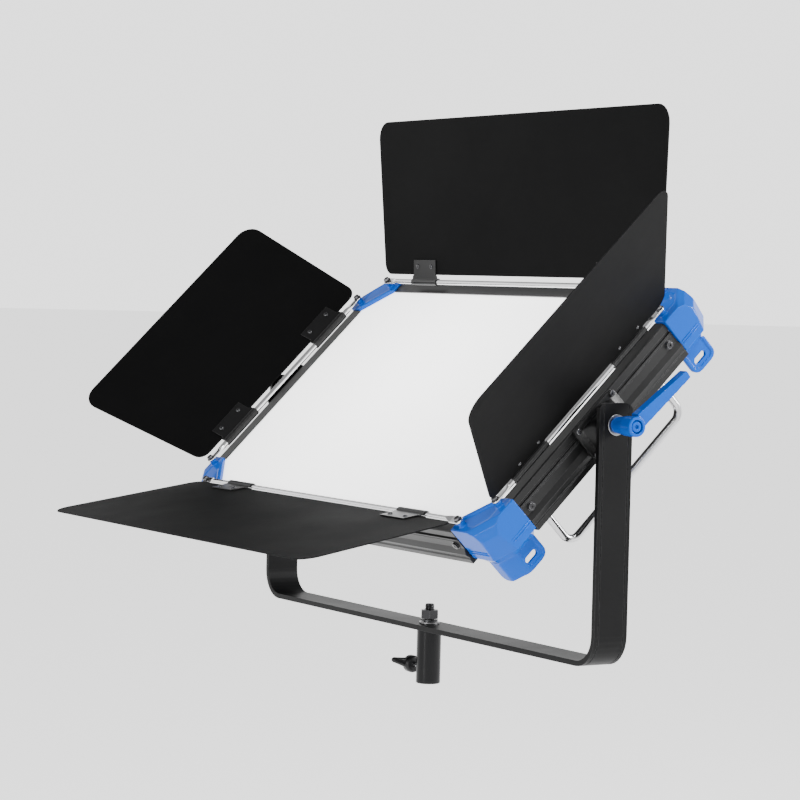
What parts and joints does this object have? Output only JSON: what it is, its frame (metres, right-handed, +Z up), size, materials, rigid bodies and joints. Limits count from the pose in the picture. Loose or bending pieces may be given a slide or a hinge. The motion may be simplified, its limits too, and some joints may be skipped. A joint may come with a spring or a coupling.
{
  "type": "panel light with barn doors",
  "caption": "Flat rectangular LED panel light with hinged barn door leaves on rods, blue corner castings, a U-shaped yoke with a clamp lever, rear bar handles and a stand socket.",
  "frame": {"origin": "centre of the mouth of the stand socket", "axes": "+Z up; the light faces -Y, tilted back; +X is the side of the clamp lever, and the tilt axis runs along X"},
  "size_m": [0.8627, 0.4431, 0.5871],
  "materials": {
    "leaf_coat": "fine matt black powder coat",
    "clip_coat": "satin black",
    "rod_chrome": "bright",
    "handle_chrome": "bright",
    "screw_oxide": "black oxide",
    "zinc": "bright zinc",
    "casting_blue": "gloss blue",
    "lever_blue": "gloss blue",
    "rail_anodised": "satin black anodised",
    "yoke_coat": "matt black powder coat",
    "bracket_coat": "satin black",
    "cover_coat": "matt black powder coat",
    "socket_anodised": "satin black anodised",
    "opal": "opal, satin",
    "board": "white board",
    "black_plastic": "moulded black",
    "display": "dark glossy window"
  },
  "bodies": {
    "yoke": {"yoke_strap": "yoke_coat", "stand_socket": "socket_anodised", "socket_stud": "screw_oxide", "flat_washer": "zinc", "spring_washer": "screw_oxide", "stud_nut": "screw_oxide"},
    "thumb_screw": {"socket_thumb_screw": "black_plastic"},
    "head": {"back_cover": "cover_coat", "control_box": "cover_coat", "corner_bottom_left": "casting_blue", "corner_bottom_right": "casting_blue", "corner_top_left": "casting_blue", "corner_top_right": "casting_blue", "diffuser": "opal", "display_window": "display", "door_rod_bottom": "rod_chrome", "door_rod_left": "rod_chrome", "door_rod_right": "rod_chrome", "door_rod_top": "rod_chrome", "driver_board": "board", "led_board": "board", "lever_screw": "lever_blue", "lever_washer": "zinc", "mains_inlet": "black_plastic", "pivot_bolt": "screw_oxide", "pivot_bracket_left": "bracket_coat", "pivot_bracket_right": "bracket_coat", "pivot_washer": "zinc", "rail_bottom": "rail_anodised", "rail_left": "rail_anodised", "rail_right": "rail_anodised", "rail_top": "rail_anodised", "rear_handle_left": "handle_chrome", "rear_handle_right": "handle_chrome", "rod_screw_bottom_a": "screw_oxide", "rod_screw_bottom_b": "screw_oxide", "rod_screw_left_a": "screw_oxide", "rod_screw_left_b": "screw_oxide", "rod_screw_right_a": "screw_oxide", "rod_screw_right_b": "screw_oxide", "rod_screw_top_a": "screw_oxide", "rod_screw_top_b": "screw_oxide"},
    "tilt_lever": {"clamp_lever": "lever_blue"},
    "leaf_top": {"door_leaf_top": "leaf_coat", "door_clip_top_a": "clip_coat", "door_clip_top_b": "clip_coat"},
    "leaf_right": {"door_leaf_right": "leaf_coat", "door_clip_right_a": "clip_coat", "door_clip_right_b": "clip_coat"},
    "leaf_bottom": {"door_leaf_bottom": "leaf_coat", "door_clip_bottom_a": "clip_coat", "door_clip_bottom_b": "clip_coat"},
    "leaf_left": {"door_leaf_left": "leaf_coat", "door_clip_left_a": "clip_coat", "door_clip_left_b": "clip_coat"},
    "dimmer": {"dimmer_dial": "black_plastic"},
    "colour": {"colour_dial": "black_plastic"},
    "switch": {"power_switch": "black_plastic"}
  },
  "joints": [
    {"name": "thumb_screw_turn", "type": "hinge", "parent": "yoke", "child": "thumb_screw", "pos_m": [-0.02, 0, 0.0155], "axis": [1, 0, 0], "continuous": true},
    {"name": "head_tilt", "type": "hinge", "parent": "yoke", "child": "head", "pos_m": [0, 0, 0.2832], "axis": [1, 0, 0], "range_deg": [-70, 50]},
    {"name": "lever_turn", "type": "hinge", "parent": "head", "child": "tilt_lever", "pos_m": [0.3395, 0, 0.2832], "axis": [1, 0, 0], "range_deg": [-100, 60]},
    {"name": "leaf_top_hinge", "type": "hinge", "parent": "head", "child": "leaf_top", "pos_m": [0, 0.09259, 0.4107], "axis": [1, 0, 0], "range_deg": [-67, 120]},
    {"name": "leaf_right_hinge", "type": "hinge", "parent": "head", "child": "leaf_right", "pos_m": [0.287, -0.01794, 0.30133], "axis": [0, -0.7108, -0.7034], "range_deg": [-33, 133]},
    {"name": "leaf_bottom_hinge", "type": "hinge", "parent": "head", "child": "leaf_bottom", "pos_m": [0, -0.12847, 0.19195], "axis": [-1, 0, 0], "range_deg": [-54, 126]},
    {"name": "leaf_left_hinge", "type": "hinge", "parent": "head", "child": "leaf_left", "pos_m": [-0.287, -0.01794, 0.30133], "axis": [0, 0.7108, 0.7034], "range_deg": [-15, 151]},
    {"name": "dimmer_turn", "type": "hinge", "parent": "head", "child": "dimmer", "pos_m": [-0.055, 0.06353, 0.26165], "axis": [0, 0.7034, -0.7108], "continuous": true},
    {"name": "colour_turn", "type": "hinge", "parent": "head", "child": "colour", "pos_m": [0.055, 0.06353, 0.26165], "axis": [0, 0.7034, -0.7108], "continuous": true},
    {"name": "switch_rock", "type": "hinge", "parent": "head", "child": "switch", "pos_m": [-0.055, 0.02088, 0.21945], "axis": [1, 0, 0], "range_deg": [-28, 0]}
  ]
}
